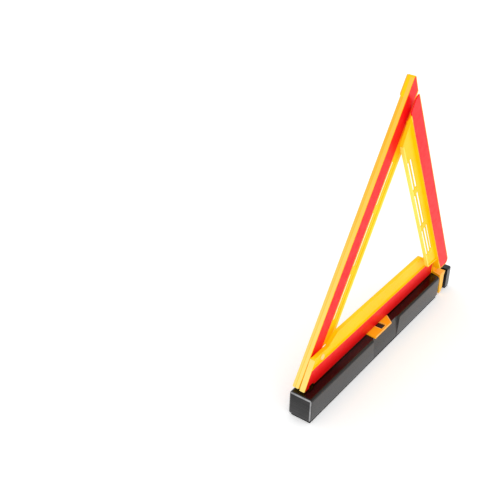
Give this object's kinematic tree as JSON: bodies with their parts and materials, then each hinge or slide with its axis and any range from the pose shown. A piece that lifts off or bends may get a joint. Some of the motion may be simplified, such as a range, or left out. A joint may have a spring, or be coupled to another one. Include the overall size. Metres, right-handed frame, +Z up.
{
  "type": "folding warning triangle",
  "caption": "Folding roadside warning triangle with red reflector strips, yellow panels, two arms that fold over a lower bar and a weighted black base that the frame turns on.",
  "frame": {"origin": "middle of the footprint, on the surface that the soles stand on", "axes": "+X along the base towards the end clip, +Y towards the back of the triangle, +Z up"},
  "size_m": [0.445, 0.036, 0.429],
  "materials": {
    "black_shell": "moulded black plastic with a soft gloss",
    "black_cover": "plain black moulded plastic",
    "ballast_steel": "plain cut steel bar",
    "sole_rubber": "matt black rubber",
    "black_bolt": "black painted steel",
    "fastener_steel": "bright steel",
    "yellow_fluorescent": "translucent fluorescent yellow-orange plastic",
    "yellow_pivot": "yellow-orange plastic",
    "red_reflex": "clear red plastic over a pattern of reflex prisms",
    "orange_plastic": "moulded orange plastic"
  },
  "bodies": {
    "base": {"base_shell": "black_shell", "base_cover_plate": "black_cover", "ballast_left": "ballast_steel", "ballast_right": "ballast_steel", "sole_long": "sole_rubber", "sole_end": "sole_rubber", "swivel_bolt": "black_bolt", "swivel_washer": "fastener_steel", "swivel_nut": "fastener_steel"},
    "frame": {"bar_body": "yellow_fluorescent", "bar_lens_front": "red_reflex", "bar_lens_rear": "red_reflex", "swivel_plate": "orange_plastic", "end_clip": "orange_plastic", "pivot_rivet_left": "yellow_pivot", "pivot_rivet_right": "yellow_pivot", "pivot_spacer_left": "yellow_pivot", "pivot_spacer_right": "yellow_pivot"},
    "left_arm": {"left_arm_body": "yellow_fluorescent", "left_arm_lens_front": "red_reflex", "left_arm_lens_rear": "red_reflex", "left_arm_tip_pad": "yellow_fluorescent"},
    "right_arm": {"right_arm_body": "yellow_fluorescent", "right_arm_lens_front": "red_reflex", "right_arm_lens_rear": "red_reflex", "apex_peg": "yellow_pivot"}
  },
  "joints": [
    {"name": "base_swivel", "type": "hinge", "parent": "base", "child": "frame", "pos_m": [-0.0125, -0.007, 0.04], "axis": [0, 0, 1], "range_deg": [-90, 0]},
    {"name": "left_fold", "type": "hinge", "parent": "frame", "child": "left_arm", "pos_m": [-0.17056, 0.0116, 0.0763], "axis": [0, 0.9995, 0.0328], "range_deg": [0, 60]},
    {"name": "right_fold", "type": "hinge", "parent": "frame", "child": "right_arm", "pos_m": [0.17056, -0.0107, 0.0763], "axis": [0, 1, 0], "range_deg": [-60, 0]}
  ]
}
